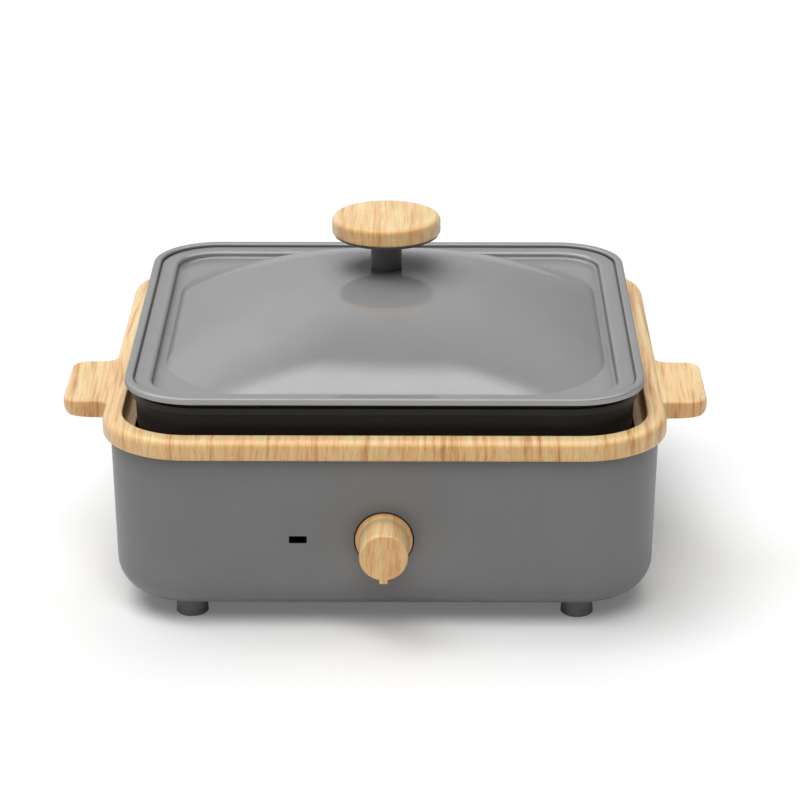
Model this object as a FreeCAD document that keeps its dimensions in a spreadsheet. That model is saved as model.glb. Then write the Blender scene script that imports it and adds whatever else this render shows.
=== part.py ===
"""Table-top electric grill: a wood-framed casing, a lift-out pan and a lift-off lid."""
import FreeCAD, Part
import Sketcher
import math
import os
import re

DOC = FreeCAD.newDocument("TableGrill")
SIZES = DOC.addObject("Spreadsheet::Sheet", "Sizes")
NODES = []

# Driving sizes in millimetres, angles in degrees, counts as whole numbers
DRIVING_SIZES = (
    ("foot_height", 11, "floor to the underside of the casing"),
    ("foot_radius", 8.6, "foot at its top"),
    ("foot_spread", 0.8, "how much wider the foot is at the floor"),
    ("foot_edge_bevel", 0.8, "bevel of the foot's lower edge"),
    ("foot_inset_side", 45.8, "foot centre from the casing's side"),
    ("foot_inset_ends", 30, "foot centre from the casing's front and back"),
    ("foot_recess_radius", 4.6, "screw recess in the foot"),
    ("foot_recess_depth", 5, "depth of that recess"),
    ("casing_height", 95, "height of the casing"),
    ("casing_wall", 2.8, "wall of the casing"),
    ("casing_draft", 1.5, "draft of the casing's sides"),
    ("casing_bottom_round", 19.5, "rounding between sides and underside"),
    ("ledge_reach", 6.7, "ledge inside the rim that carries the shield"),
    ("ledge_thickness", 3, "thickness of that ledge"),
    ("boss_radius", 3.5, "screw bosses inside the casing"),
    ("frame_boss_height", 14, "bosses that the frame's screws go through"),
    ("frame_boss_inset", 4.6, "frame screw centres from the casing's outside at its top"),
    ("frame_screw_spread", 70, "frame screws from the middle, at front and back"),
    ("floor_boss_height", 7, "bosses on the casing's floor"),
    ("base_opening", 200, "opening in the casing's floor"),
    ("base_opening_radius", 20, "corners of that opening"),
    ("cover_overlap", 10, "how far the cover laps over the opening"),
    ("cover_thickness", 2, "bottom cover"),
    ("cover_screw_spread", 60, "cover screws from the middle, front to back"),
    ("vent_length", 44, "vent slot"),
    ("vent_width", 4, "vent slot"),
    ("vent_pitch", 12, "step between vent slots"),
    ("vent_count", 9, "slots in each row"),
    ("vent_row_offset", 42, "row of slots from the middle"),
    ("vent_end_flat", 0.02, "straight left between a slot's rounded corners"),
    ("ring_width", 324, "wood frame, sideways without the handles"),
    ("ring_depth", 324, "wood frame, front to back"),
    ("ring_radius", 51, "outer corners of the wood frame"),
    ("ring_wall", 11.5, "width of the frame's bar"),
    ("ring_overhang", 4.5, "frame out beyond the casing"),
    ("ring_height", 12, "height of the frame's bar"),
    ("ring_top_round", 4.5, "outer upper edge"),
    ("ring_bottom_round", 2.2, "outer lower edge"),
    ("ring_inner_round", 1.0, "inner upper edge"),
    ("frame_lip_width", 6.8, "lip at the frame's inner foot, over the shield's edge"),
    ("frame_lip_height", 3, "thickness of that lip"),
    ("frame_lip_round", 2.5, "hollow between the lip and the frame's inner side"),
    ("handle_overlap", 0.5, "how far the handle runs into the frame's side"),
    ("handle_reach", 25.5, "handle out from the frame's side"),
    ("handle_depth", 69, "handle, front to back"),
    ("handle_front_gap", 71, "frame's front to the handle's front edge"),
    ("handle_tip_radius", 9, "handle's outer corners seen from above"),
    ("handle_rear_root", 9, "hollow corner where the handle's rear meets the frame"),
    ("handle_front_root", 5, "hollow corner where its front meets the frame"),
    ("handle_top_drop", 1.5, "handle's top below the frame's top"),
    ("handle_root_rise", 0.2, "handle's underside above the frame's underside, at the root"),
    ("handle_tip_thickness", 9.4, "handle near its tip"),
    ("handle_tip_belly", 6, "rounding between the tip and the underside"),
    ("handle_belly_radius", 90, "curve of the handle's underside"),
    ("handle_edge_round", 2.0, "handle's edges"),
    ("handle_root_hollow", 1.5, "hollow between the handle's top and the frame"),
    ("screw_radius", 1.4, "self-tapping screws"),
    ("screw_head_radius", 2.5, "their heads"),
    ("screw_head_height", 2, "their heads"),
    ("screw_hole_play", 0.15, "clearance hole, on the radius"),
    ("screw_bite", 6, "screw's grip in the piece that it holds"),
    ("cut_past", 1, "how far a cut runs on past what it cuts"),
    ("shield_sheet", 0.8, "sheet of the heat shield"),
    ("shield_play", 0.3, "shield's flange to the casing's rim"),
    ("shield_gap", 1.7, "pan's side to the shield's wall"),
    ("shield_depth", 36, "depth of the shield's well, outside"),
    ("shield_round", 5, "rounding at the well's floor, outside"),
    ("element_radius", 3.3, "sheath of the heating element"),
    ("element_level", 12, "element's axis above the well's floor"),
    ("element_inset", 38, "outer runs of the element inside the pan's side"),
    ("element_inner", 38, "inner runs from the middle"),
    ("element_gap", 18, "cold ends from the middle"),
    ("element_front_fold", 58, "inner fold of the element from the middle"),
    ("element_bend", 15, "bend radius of the element"),
    ("element_end", 3, "cold end out beyond the shield's rear wall"),
    ("bush_radius", 5, "ceramic bush of a cold end"),
    ("bush_flange", 7, "flange of the bush"),
    ("bush_flange_thickness", 1.5, "flange of the bush"),
    ("bush_proud", 2, "bush out beyond the shield's rear wall"),
    ("cold_end_room", 8, "reach of the cold ends' holes each side of the shield's rear wall"),
    ("clip_thickness", 1.5, "element clip"),
    ("clip_width", 16, "element clip"),
    ("clip_foot", 12, "foot of the clip"),
    ("clip_play", 0.1, "clip to the element's sheath"),
    ("clip_over", 2, "clip above the element's sheath"),
    ("clip_offset", 30, "clips on the outer runs from the middle"),
    ("post_radius", 5, "posts that carry the pan"),
    ("post_inset", 22, "posts inside the pan's side"),
    ("post_offset_depth", 70, "posts from the middle, front to back"),
    ("pan_gap_side", 4.75, "pan's rim to the wood frame, at the sides"),
    ("pan_gap_ends", 6.25, "the same at front and back"),
    ("pan_radius", 39, "upright corners of the pan"),
    ("pan_height", 45, "height of the pan"),
    ("pan_wall", 4.2, "side wall of the pan"),
    ("pan_floor", 4.5, "floor of the pan"),
    ("pan_draft", 3, "draft of the pan's side"),
    ("pan_rim_step", 1.8, "rim out beyond the side wall"),
    ("pan_lip_height", 3.2, "lip above the rim band, which carries the lid"),
    ("pan_rim_height", 4.4, "height of the rim band"),
    ("pan_rim_round", 0.6, "rounding of the rim"),
    ("pan_outer_round", 12, "rounding under the pan"),
    ("pan_inner_round", 8, "rounding at the cooking surface"),
    ("lid_seat_rise", 16.7, "lid's seat above the frame's top"),
    ("lid_overlap", 3.25, "lid out beyond the pan's rim"),
    ("lid_radius", 41, "corners of the lid"),
    ("lid_sheet", 1.5, "sheet of the lid"),
    ("bead_width", 5, "raised bead round the lid"),
    ("bead_height", 2.2, "bead above the flange"),
    ("bead_round", 1.5, "rounding of the bead"),
    ("bead_groove_width", 1.0, "groove inside the bead"),
    ("bead_groove_depth", 0.5, "depth of that groove"),
    ("lid_flange", 15.5, "edge of the lid to the step down"),
    ("lid_step_corner", 25.5, "corners of that step"),
    ("lid_step_round", 2.25, "upper edge of that step"),
    ("valley_depth", 4.5, "valley below the flange's top"),
    ("valley_width", 5, "width of the valley"),
    ("valley_round", 2.2, "rounding at the valley's outer foot"),
    ("dome_height", 37.4, "dome above the valley"),
    ("dome_power", 2.1, "how full the dome's slope is"),
    ("dome_foot_corner", 0.52, "corner radius over half width at the dome's foot"),
    ("dome_top_corner", 0.9, "the same near its top"),
    ("lid_stem_radius", 9.2, "neck of the lid's knob"),
    ("lid_stem_height", 19.7, "visible neck"),
    ("stem_neck_hollow", 1, "hollow between the neck and the disc"),
    ("stem_disc_radius", 31, "dark disc under the wood disc"),
    ("stem_disc_thickness", 2.7, "that disc"),
    ("stem_disc_bevel", 1.4, "its lower edge"),
    ("cap_radius", 32.4, "wood disc of the lid's knob"),
    ("cap_thickness", 10.6, "wood disc"),
    ("cap_top_round", 3.4, "its upper edge"),
    ("cap_bottom_round", 1.4, "its lower edge"),
    ("lid_screw_radius", 2.5, "screw of the lid's knob"),
    ("lid_screw_head_radius", 4.6, "its head"),
    ("lid_screw_head_height", 3, "its head"),
    ("lid_washer_radius", 8, "washer inside the lid"),
    ("lid_washer_thickness", 1.2, "that washer"),
    ("lid_screw_grip", 6, "screw's grip in the wood disc"),
    ("knob_drop", 49.5, "control knob's axis below the casing's top"),
    ("knob_flange_radius", 16.3, "wide root of the control knob"),
    ("knob_radius", 13.8, "control knob's grip"),
    ("knob_reach", 26.8, "knob's face in front of the casing"),
    ("knob_flange_proud", 0.8, "root's straight edge in front of the casing"),
    ("knob_cove", 2.5, "hollow curve from root to grip"),
    ("knob_face_round", 1.4, "edge of the knob's face"),
    ("knob_gap", 0.9, "gap round the knob's root, and behind it"),
    ("recess_depth", 4, "recess that the knob's root sits in"),
    ("recess_wall", 3, "wall behind that recess"),
    ("bracket_hole_depth", 2.4, "bracket's screw holes in that wall"),
    ("bracket_bite", 2.1, "bracket's screws in that wall"),
    ("pointer_width", 4.6, "pointer rib of the knob"),
    ("pointer_height", 2.0, "pointer rib out from the grip"),
    ("pointer_length", 11, "pointer rib along the grip"),
    ("pointer_round", 0.6, "edges of the pointer rib"),
    ("insert_radius", 6, "plastic insert in the knob"),
    ("insert_length", 15, "that insert"),
    ("shaft_radius", 3, "thermostat's shaft"),
    ("shaft_play", 0.06, "running clearance of the shaft, on the radius"),
    ("shaft_clear", 1.2, "shaft to the casing's hole"),
    ("shaft_grip", 12, "shaft inside the insert"),
    ("shaft_seat", 9, "shaft inside the thermostat"),
    ("shaft_end_gap", 0.5, "room at the shaft's inner end"),
    ("thermostat_width", 34, "thermostat"),
    ("thermostat_height", 24, "thermostat"),
    ("thermostat_length", 26, "thermostat"),
    ("thermostat_corner", 2, "its upright corners"),
    ("thermostat_head_gap", 1, "thermostat to the bracket's screw heads"),
    ("bracket_width", 44, "thermostat's bracket"),
    ("bracket_height", 22, "thermostat's bracket"),
    ("bracket_thickness", 1.2, "thermostat's bracket"),
    ("bracket_corner", 3, "corners of the bracket"),
    ("bracket_screw_offset", 16, "bracket's screws from the shaft"),
    ("window_offset", 48.9, "indicator window from the middle"),
    ("window_width", 10.2, "indicator window"),
    ("window_height", 4.4, "indicator window"),
    ("window_corner", 0.6, "corners of the window"),
    ("window_play", 0.1, "lens to its hole"),
    ("lens_inset", 0.4, "lens behind the casing's outside"),
    ("lens_flange", 2, "lens's flange beyond the hole"),
    ("lens_flange_thickness", 1.2, "lens's flange"),
    ("lens_flange_corner", 1, "corners of the lens's flange"),
    ("lens_seat_gap", 0.2, "lens's flange behind the wall"),
    ("lamp_radius", 3, "neon lamp"),
    ("lamp_length", 14, "neon lamp"),
    ("inlet_level", 42, "mains inlet's axis above the floor"),
    ("inlet_flange_width", 50, "inlet's flange"),
    ("inlet_flange_height", 24, "inlet's flange"),
    ("inlet_flange_thickness", 2.5, "inlet's flange"),
    ("inlet_flange_corner", 3, "corners of the inlet's flange"),
    ("inlet_body_width", 27.6, "inlet's housing"),
    ("inlet_body_height", 20, "inlet's housing"),
    ("inlet_body_length", 22, "inlet's housing, behind its flange"),
    ("inlet_mouth_width", 24.2, "inlet's mouth"),
    ("inlet_mouth_height", 16.4, "inlet's mouth"),
    ("inlet_mouth_corner", 3.2, "corners of the inlet's mouth"),
    ("inlet_mouth_depth", 17, "depth of the mouth"),
    ("inlet_seat_inset", 1.5, "inlet's seat inside the casing's outside"),
    ("inlet_pad_thickness", 3, "pad behind that seat"),
    ("inlet_pad_margin", 3, "pad out beyond the inlet's flange"),
    ("inlet_seat_play", 0.5, "inlet's flange to the edge of its seat"),
    ("inlet_body_play", 0.2, "inlet's housing to its hole"),
    ("inlet_screw_offset", 20, "inlet's screws from its axis"),
    ("pin_width", 4, "contact pin"),
    ("pin_thickness", 2, "contact pin"),
    ("pin_length", 11, "contact pin in the mouth"),
    ("pin_tail", 7, "contact pin's tail inside"),
    ("pin_spread", 7, "outer pins from the middle one"),
    ("pin_rise", 2, "middle pin above the axis, outer ones below"),
    ("block_offset_side", 50, "terminal block from the middle, to the left"),
    ("block_width", 34, "terminal block"),
    ("block_depth", 16, "terminal block"),
    ("block_height", 15, "terminal block"),
    ("bulb_radius", 3, "thermostat's bulb"),
    ("bulb_length", 46, "thermostat's bulb"),
    ("bulb_offset", 78, "bulb in front of the middle"),
    ("bulb_start", 24, "bulb's near end from the middle, to the right"),
    ("bulb_gap", 0.2, "bulb under the shield's floor"),
    ("capillary_radius", 1.0, "tube from the bulb to the thermostat"),
    ("capillary_exit", 4, "tube's exit from the thermostat, to the right of its axis"),
    ("capillary_drop", 5, "that exit below the bulb"),
    ("capillary_run", 18, "tube straight behind the thermostat"),
    ("fuse_radius", 4, "thermal fuse in its sleeve"),
    ("fuse_length", 30, "thermal fuse"),
    ("fuse_offset", 62, "fuse behind the middle"),
    ("wire_radius", 1.3, "inner wires"),
    ("wire_bend", 8, "bend radius of the inner wires"),
    ("wire_level", 46, "long wires above the floor"),
)

# Sizes that follow from the others, so that what lies inside the frame keeps its clearances
FOLLOWING_SIZES = {
    "casing_width": "( ring_width - 2 * ring_overhang )",
    "casing_depth": "( ring_depth - 2 * ring_overhang )",
    "casing_radius": "( ring_radius - ring_overhang )",
    "foot_offset_side": "( casing_width / 2 - foot_inset_side )",
    "foot_offset_depth": "( casing_depth / 2 - foot_inset_ends )",
    "pan_width": "( ring_width - 2 * ( ring_wall + pan_gap_side + pan_rim_step ) )",
    "pan_depth": "( ring_depth - 2 * ( ring_wall + pan_gap_ends + pan_rim_step ) )",
    "lid_width": "( pan_width + 2 * ( pan_rim_step + lid_overlap ) )",
    "lid_depth": "( pan_depth + 2 * ( pan_rim_step + lid_overlap ) )",
    "element_reach": "( pan_width / 2 - element_inset )",
    "post_offset_side": "( pan_width / 2 - post_inset )",
}

for row, (alias, size, meaning) in enumerate(DRIVING_SIZES, start=1):
    SIZES.set("A%d" % row, alias)
    SIZES.set("B%d" % row, str(size))
    SIZES.set("C%d" % row, meaning)
    SIZES.setAlias("B%d" % row, alias)
DOC.recompute()
ALIASES = {alias for alias, size, meaning in DRIVING_SIZES}


def named(text):
    """Write each size name in the text as a reference to its cell, or as what it follows from."""
    def reference(word):
        if word[0] in FOLLOWING_SIZES:
            return named(FOLLOWING_SIZES[word[0]])
        return "Sizes." + word[0] if word[0] in ALIASES else word[0]
    return re.sub("[a-z_]+", reference, text)


def bind(item, target, text):
    """Let the sheet's sizes drive a value of the item."""
    item.setExpression(target, named(text))


def number(text):
    """The value of an expression of the sheet's sizes."""
    value = SIZES.evalExpression(named(text))
    return float(getattr(value, "Value", value))


# Levels and lines that several pieces share
CASING_BASE = "foot_height"
CASING_FLOOR = "( foot_height + casing_wall )"
CASING_TOP = "( foot_height + casing_height )"
RING_TOP = "( foot_height + casing_height + ring_height )"
LEDGE_TOP = "( foot_height + casing_height - shield_sheet )"
SHIELD_FLOOR = "( foot_height + casing_height - shield_depth + shield_sheet )"
SHIELD_UNDER = "( foot_height + casing_height - shield_depth )"
ELEMENT_AXIS = "( %s + element_level )" % SHIELD_FLOOR
LID_SEAT = "( %s + lid_seat_rise )" % RING_TOP
PAN_UNDER = "( %s - pan_height )" % LID_SEAT
KNOB_AXIS = "( %s - knob_drop )" % CASING_TOP
WALL_FRONT = "( casing_depth / 2 - knob_drop * tan( casing_draft * 1deg ) )"
RECESS_FLOOR = "( %s - recess_depth )" % WALL_FRONT
RECESS_BACK = "( %s - recess_wall )" % RECESS_FLOOR
BRACKET_BACK = "( %s - bracket_thickness )" % RECESS_BACK
THERMOSTAT_BACK = "( %s - thermostat_length )" % BRACKET_BACK
KNOB_BACK = "( %s + knob_gap )" % RECESS_FLOOR
KNOB_FACE = "( %s + knob_reach )" % WALL_FRONT
WALL_BACK = "( casing_depth / 2 - ( %s - inlet_level ) * tan( casing_draft * 1deg ) )" % CASING_TOP
INLET_SEAT = "( %s - inlet_seat_inset )" % WALL_BACK
INLET_MOUTH = "( %s + inlet_flange_thickness )" % INLET_SEAT
INLET_INSIDE = "( %s - inlet_body_length )" % INLET_SEAT
BLOCK_REAR = "( %s - pin_tail )" % INLET_INSIDE
WELL_WIDTH = "( pan_width + 2 * shield_gap + 2 * shield_sheet )"
WELL_DEPTH = "( pan_depth + 2 * shield_gap + 2 * shield_sheet )"
WELL_RADIUS = "( pan_radius + shield_gap + shield_sheet )"
WELL_BACK = "( %s / 2 )" % WELL_DEPTH
HANDLE_FRONT = "( - ring_depth / 2 + handle_front_gap )"
HANDLE_TOP = "( %s - handle_top_drop )" % RING_TOP
VALLEY_FLOOR = "( %s + lid_sheet - valley_depth )" % LID_SEAT
DOME_TOP = "( %s + dome_height )" % VALLEY_FLOOR
# The knob stands out in front only, so the middle of the whole object lies in front of the casing's
PLAN_SHIFT = "( ( %s - ring_depth / 2 ) / 2 )" % KNOB_FACE


def keep(piece):
    """List a finished piece, named by its label."""
    NODES.append(piece)
    return piece


def new_body(label):
    body = DOC.addObject("PartDesign::Body", label)
    body.Label = label
    bind(body, "Placement.Base.y", PLAN_SHIFT)
    return keep(body)


def new_sketch(body, name, plane="XY_Plane", x="0", y="0", z="0"):
    """A sketch on an origin plane, moved along its own axes."""
    sketch = body.newObject("Sketcher::SketchObject", name)
    support = [item for item in body.Origin.OriginFeatures if item.Role == plane][0]
    sketch.AttachmentSupport = [(support, "")]
    sketch.MapMode = "FlatFace"
    for axis, text in (("x", x), ("y", y), ("z", z)):
        if text != "0":
            bind(sketch, "AttachmentOffset.Base." + axis, text)
    return sketch


def drive(sketch, constraint, text):
    index = sketch.addConstraint(constraint)
    bind(sketch, "Constraints[%d]" % index, text)


def fix_point(sketch, curve, vertex, x, y):
    """Hold a point at x, y from the sketch's origin."""
    for kind, text, axis in (("DistanceX", x, -2), ("DistanceY", y, -1)):
        size = number(text)
        if abs(size) < 1e-9:
            sketch.addConstraint(Sketcher.Constraint("PointOnObject", curve, vertex, axis))
        elif size > 0:
            drive(sketch, Sketcher.Constraint(kind, -1, 1, curve, vertex, size), text)
        else:
            drive(sketch, Sketcher.Constraint(kind, curve, vertex, -1, 1, -size), "-( %s )" % text)


def add_circle(sketch, radius, x="0", y="0"):
    centre = FreeCAD.Vector(number(x), number(y), 0)
    curve = sketch.addGeometry(Part.Circle(centre, FreeCAD.Vector(0, 0, 1), number(radius)))
    fix_point(sketch, curve, 3, x, y)
    drive(sketch, Sketcher.Constraint("Radius", curve, number(radius)), radius)


def add_rounded_rectangle(sketch, width, depth, radius):
    """A rectangle round the sketch's origin, with one radius at its corners."""
    half_x = number(width) / 2
    half_y = number(depth) / 2
    r = number(radius)
    normal = FreeCAD.Vector(0, 0, 1)
    corners = ((half_x, -half_y, 0), (half_x, half_y, 90), (-half_x, half_y, 180), (-half_x, -half_y, 270))
    lines = []
    arcs = []
    for step, (x, y, turn) in enumerate(corners):
        before = FreeCAD.Vector(*corners[step - 1][:2], 0)
        corner = FreeCAD.Vector(x, y, 0)
        along = (corner - before).normalize()
        line = Part.LineSegment(before + along * r, corner - along * r)
        lines.append(sketch.addGeometry(line))
        centre = FreeCAD.Vector(x - math.copysign(r, x), y - math.copysign(r, y), 0)
        start = math.radians(turn - 90)
        arc = Part.ArcOfCircle(Part.Circle(centre, normal, r), start, start + math.pi / 2)
        arcs.append(sketch.addGeometry(arc))
    for step in range(4):
        sketch.addConstraint(Sketcher.Constraint("Tangent", lines[step], 2, arcs[step], 1))
        sketch.addConstraint(Sketcher.Constraint("Tangent", arcs[step], 2, lines[(step + 1) % 4], 1))
        level = "Horizontal" if step in (0, 2) else "Vertical"
        sketch.addConstraint(Sketcher.Constraint(level, lines[step]))
        if step:
            sketch.addConstraint(Sketcher.Constraint("Equal", arcs[0], arcs[step]))
    drive(sketch, Sketcher.Constraint("Radius", arcs[0], r), radius)
    bottom, right, top, left = lines
    half_width = "( %s ) / 2" % width
    half_depth = "( %s ) / 2" % depth
    drive(sketch, Sketcher.Constraint("DistanceX", -1, 1, right, 1, half_x), half_width)
    drive(sketch, Sketcher.Constraint("DistanceX", left, 1, -1, 1, half_x), half_width)
    drive(sketch, Sketcher.Constraint("DistanceY", -1, 1, top, 1, half_y), half_depth)
    drive(sketch, Sketcher.Constraint("DistanceY", bottom, 1, -1, 1, half_y), half_depth)


def add_rectangle(sketch, width, height):
    """A rectangle round the sketch's origin."""
    half_width = "( %s ) / 2" % width
    half_height = "( %s ) / 2" % height
    add_profile(sketch, (
        ("-( %s )" % half_width, "-( %s )" % half_height),
        (half_width, "-( %s )" % half_height),
        (half_width, half_height),
        ("-( %s )" % half_width, half_height),
    ))


def arc_between(start, end, radius, side):
    """An arc of the radius from start to end, bulging to the side (1 left, -1 right)."""
    chord = end - start
    half = chord.Length / 2
    across = FreeCAD.Vector(-chord.y, chord.x, 0).normalize() * side
    rise = radius - math.sqrt(max(radius * radius - half * half, 0))
    return Part.Arc(start, (start + end) * 0.5 + across * rise, end)


def add_profile(sketch, corners):
    """A closed outline through x, y points; a point may add the radius and side of an arc to the next."""
    points = [FreeCAD.Vector(number(corner[0]), number(corner[1]), 0) for corner in corners]
    curves = []
    for step, corner in enumerate(corners):
        start = points[step]
        end = points[(step + 1) % len(points)]
        if len(corner) == 2:
            curve = sketch.addGeometry(Part.LineSegment(start, end))
        else:
            curve = sketch.addGeometry(arc_between(start, end, number(corner[2]), corner[3]))
        forward = (sketch.getPoint(curve, 1) - start).Length < 1e-6
        curves.append((curve, 1 if forward else 2, 2 if forward else 1))
    for step, corner in enumerate(corners):
        curve, first, last = curves[step]
        following, following_first, following_last = curves[(step + 1) % len(curves)]
        sketch.addConstraint(Sketcher.Constraint("Coincident", curve, last, following, following_first))
        fix_point(sketch, curve, first, corner[0], corner[1])
        if len(corner) > 2:
            drive(sketch, Sketcher.Constraint("Radius", curve, number(corner[2])), corner[2])


def extrude(body, kind, name, sketch, length, reverse=False, draft=None):
    """A pad or a pocket; a draft narrows it away from its sketch."""
    feature = body.newObject("PartDesign::" + kind, name)
    feature.Profile = sketch
    bind(feature, "Length", length)
    feature.Reversed = reverse
    if draft:
        bind(feature, "TaperAngle", "-( %s )" % draft)
    return feature


def pad(body, name, sketch, length, reverse=False, draft=None):
    return extrude(body, "Pad", name, sketch, length, reverse, draft)


def pocket(body, name, sketch, length, reverse=False, draft=None):
    """Cut, and stop where the cut takes nothing away."""
    DOC.recompute()
    before = body.Tip.Shape.Volume
    feature = extrude(body, "Pocket", name, sketch, length, reverse, draft)
    DOC.recompute()
    if not feature.Shape.Volume < before - 1e-6:
        raise ValueError(name + " cuts nothing")
    return feature


def revolve(body, name, sketch):
    feature = body.newObject("PartDesign::Revolution", name)
    feature.Profile = sketch
    feature.ReferenceAxis = (sketch, ["V_Axis"])
    feature.Angle = 360
    return feature


def fillet(body, name, radius, wanted):
    """Round the edges of the body so far that pass the test."""
    DOC.recompute()
    base = body.Tip
    edges = ["Edge%d" % (index + 1) for index, edge in enumerate(base.Shape.Edges) if wanted(edge)]
    if not edges:
        raise ValueError(name + " finds no edge")
    feature = body.newObject("PartDesign::Fillet", name)
    feature.Base = (base, edges)
    bind(feature, "Radius", radius)
    return feature


def middle(edge):
    return edge.valueAt((edge.FirstParameter + edge.LastParameter) / 2)


def lies_level(edge, level):
    """Whether the whole edge lies at the level."""
    height = number(level)
    points = [vertex.Point for vertex in edge.Vertexes] + [middle(edge)]
    return all(abs(point.z - height) < 1e-3 for point in points)


def on_outline(width, depth, radius, level):
    """A test for edges on a rounded rectangle at the level; sizes as numbers."""
    def test(edge):
        if not lies_level(edge, level):
            return False
        point = middle(edge)
        over_x = abs(point.x) - width / 2 + radius
        over_y = abs(point.y) - depth / 2 + radius
        outside = math.hypot(max(over_x, 0), max(over_y, 0)) + min(max(over_x, over_y), 0)
        return abs(outside - radius) < 0.02
    return test


def place(piece, x="0", y="0", z="0"):
    bind(piece, "Placement.Base.x", x)
    bind(piece, "Placement.Base.y", "( %s ) + %s" % (y, PLAN_SHIFT))
    bind(piece, "Placement.Base.z", z)
    return piece


def new_cylinder(name, radius, height, x="0", y="0", z="0", axis=(0, 0, 1)):
    """A cylinder from x, y, z along its axis."""
    piece = DOC.addObject("Part::Cylinder", name)
    bind(piece, "Radius", radius)
    bind(piece, "Height", height)
    turn = FreeCAD.Rotation(FreeCAD.Vector(0, 0, 1), FreeCAD.Vector(*axis))
    piece.Placement = FreeCAD.Placement(FreeCAD.Vector(0, 0, 0), turn)
    return place(piece, x, y, z)


def new_box(name, length, width, height, x="0", y="0", z="0"):
    """A box centred on x and y, standing on z."""
    piece = DOC.addObject("Part::Box", name)
    bind(piece, "Length", length)
    bind(piece, "Width", width)
    bind(piece, "Height", height)
    return place(piece, "( %s ) - ( %s ) / 2" % (x, length), "( %s ) - ( %s ) / 2" % (y, width), z)


def cut(name, base, tool):
    piece = DOC.addObject("Part::Cut", name)
    piece.Base = base
    piece.Tool = tool
    return piece


def fuse(name, shapes):
    piece = DOC.addObject("Part::MultiFuse", name)
    piece.Shapes = shapes
    return piece


def group(label, pieces):
    """Equal pieces kept side by side under one label."""
    piece = DOC.addObject("Part::Compound", label)
    piece.Label = label
    piece.Links = pieces
    return keep(piece)


def new_screws(label, spots, axis, length, head_radius, head_height, radius):
    """Screws whose heads stand on their spots and whose shanks run along the axis."""
    screws = []
    back = tuple(-part for part in axis)
    for index, (x, y, z) in enumerate(spots):
        shank = new_cylinder("%s_shank_%d" % (label, index), radius, length, x, y, z, axis)
        head = new_cylinder("%s_head_%d" % (label, index), head_radius, head_height, x, y, z, back)
        screws.append(fuse("%s_%d" % (label, index), [shank, head]))
    return group(label, screws)


def bent_path(points, bend):
    """Straight runs joined by tangent arcs: of the bend radius, or smaller where a run is short."""
    runs = [end - start for start, end in zip(points, points[1:])]
    lengths = [run.Length for run in runs]
    free = [length * 0.45 for length in lengths]
    free[0] = lengths[0] * 0.9
    free[-1] = lengths[-1] * 0.9
    edges = []
    start = points[0]
    for index, corner in enumerate(points[1:-1]):
        half_turn = runs[index].getAngle(runs[index + 1]) / 2
        trim = min(bend * math.tan(half_turn), free[index], free[index + 1])
        entering = runs[index] / lengths[index]
        leaving = runs[index + 1] / lengths[index + 1]
        arc_start = corner - entering * trim
        arc_end = corner + leaving * trim
        radius = trim / math.tan(half_turn)
        inward = (leaving - entering).normalize()
        arc_middle = corner + inward * (radius / math.cos(half_turn) - radius)
        edges.append(Part.LineSegment(start, arc_start).toShape())
        edges.append(Part.Arc(arc_start, arc_middle, arc_end).toShape())
        start = arc_end
    edges.append(Part.LineSegment(start, points[-1]).toShape())
    return Part.Wire(edges)


def swept_tube(points, radius, bend):
    """A round bar along the points; its volume is its section times its length."""
    path = bent_path([FreeCAD.Vector(*point) for point in points], bend)
    if min(edge.Curve.Radius for edge in path.Edges[1::2]) < 1.5 * radius:
        raise ValueError("a swept tube bends too sharply")
    first = path.Edges[0]
    ring = Part.Circle(first.Vertexes[0].Point, first.tangentAt(first.FirstParameter), radius)
    tube = path.makePipeShell([Part.Wire(ring.toShape())], True, False)
    expected = math.pi * radius * radius * path.Length
    if abs(tube.Volume / expected - 1) > 0.01:
        raise ValueError("a swept tube has the wrong volume")
    return tube


def feature_from(label, shapes):
    """A piece made of swept bars, moved with the rest of the object."""
    piece = DOC.addObject("Part::Feature", label)
    piece.Label = label
    piece.Shape = shapes[0] if len(shapes) == 1 else Part.makeCompound(shapes)
    piece.Placement = FreeCAD.Placement(FreeCAD.Vector(0, number(PLAN_SHIFT), 0), FreeCAD.Rotation())
    return keep(piece)


FRAME_SCREW_SPOTS = [
    ("%s * ( casing_width / 2 - frame_boss_inset )" % side,
     "( %s + handle_depth / 2 )" % HANDLE_FRONT) for side in ("1", "-1")
] + [
    ("%s * frame_screw_spread" % side,
     "%s * ( casing_depth / 2 - frame_boss_inset )" % end)
    for side in ("1", "-1") for end in ("1", "-1")
]
FOOT_SPOTS = {
    end_name + "_" + side_name: ("%s * foot_offset_side" % side, "%s * foot_offset_depth" % end)
    for end_name, end in (("front", "-1"), ("rear", "1"))
    for side_name, side in (("left", "-1"), ("right", "1"))
}
COVER_SCREW_SPOTS = [
    ("%s * ( base_opening / 2 + cover_overlap / 2 )" % side, "%s * cover_screw_spread" % end)
    for side in ("1", "-1") for end in ("1", "-1")
]
SCREW_HOLE = "( screw_radius + screw_hole_play )"


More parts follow.
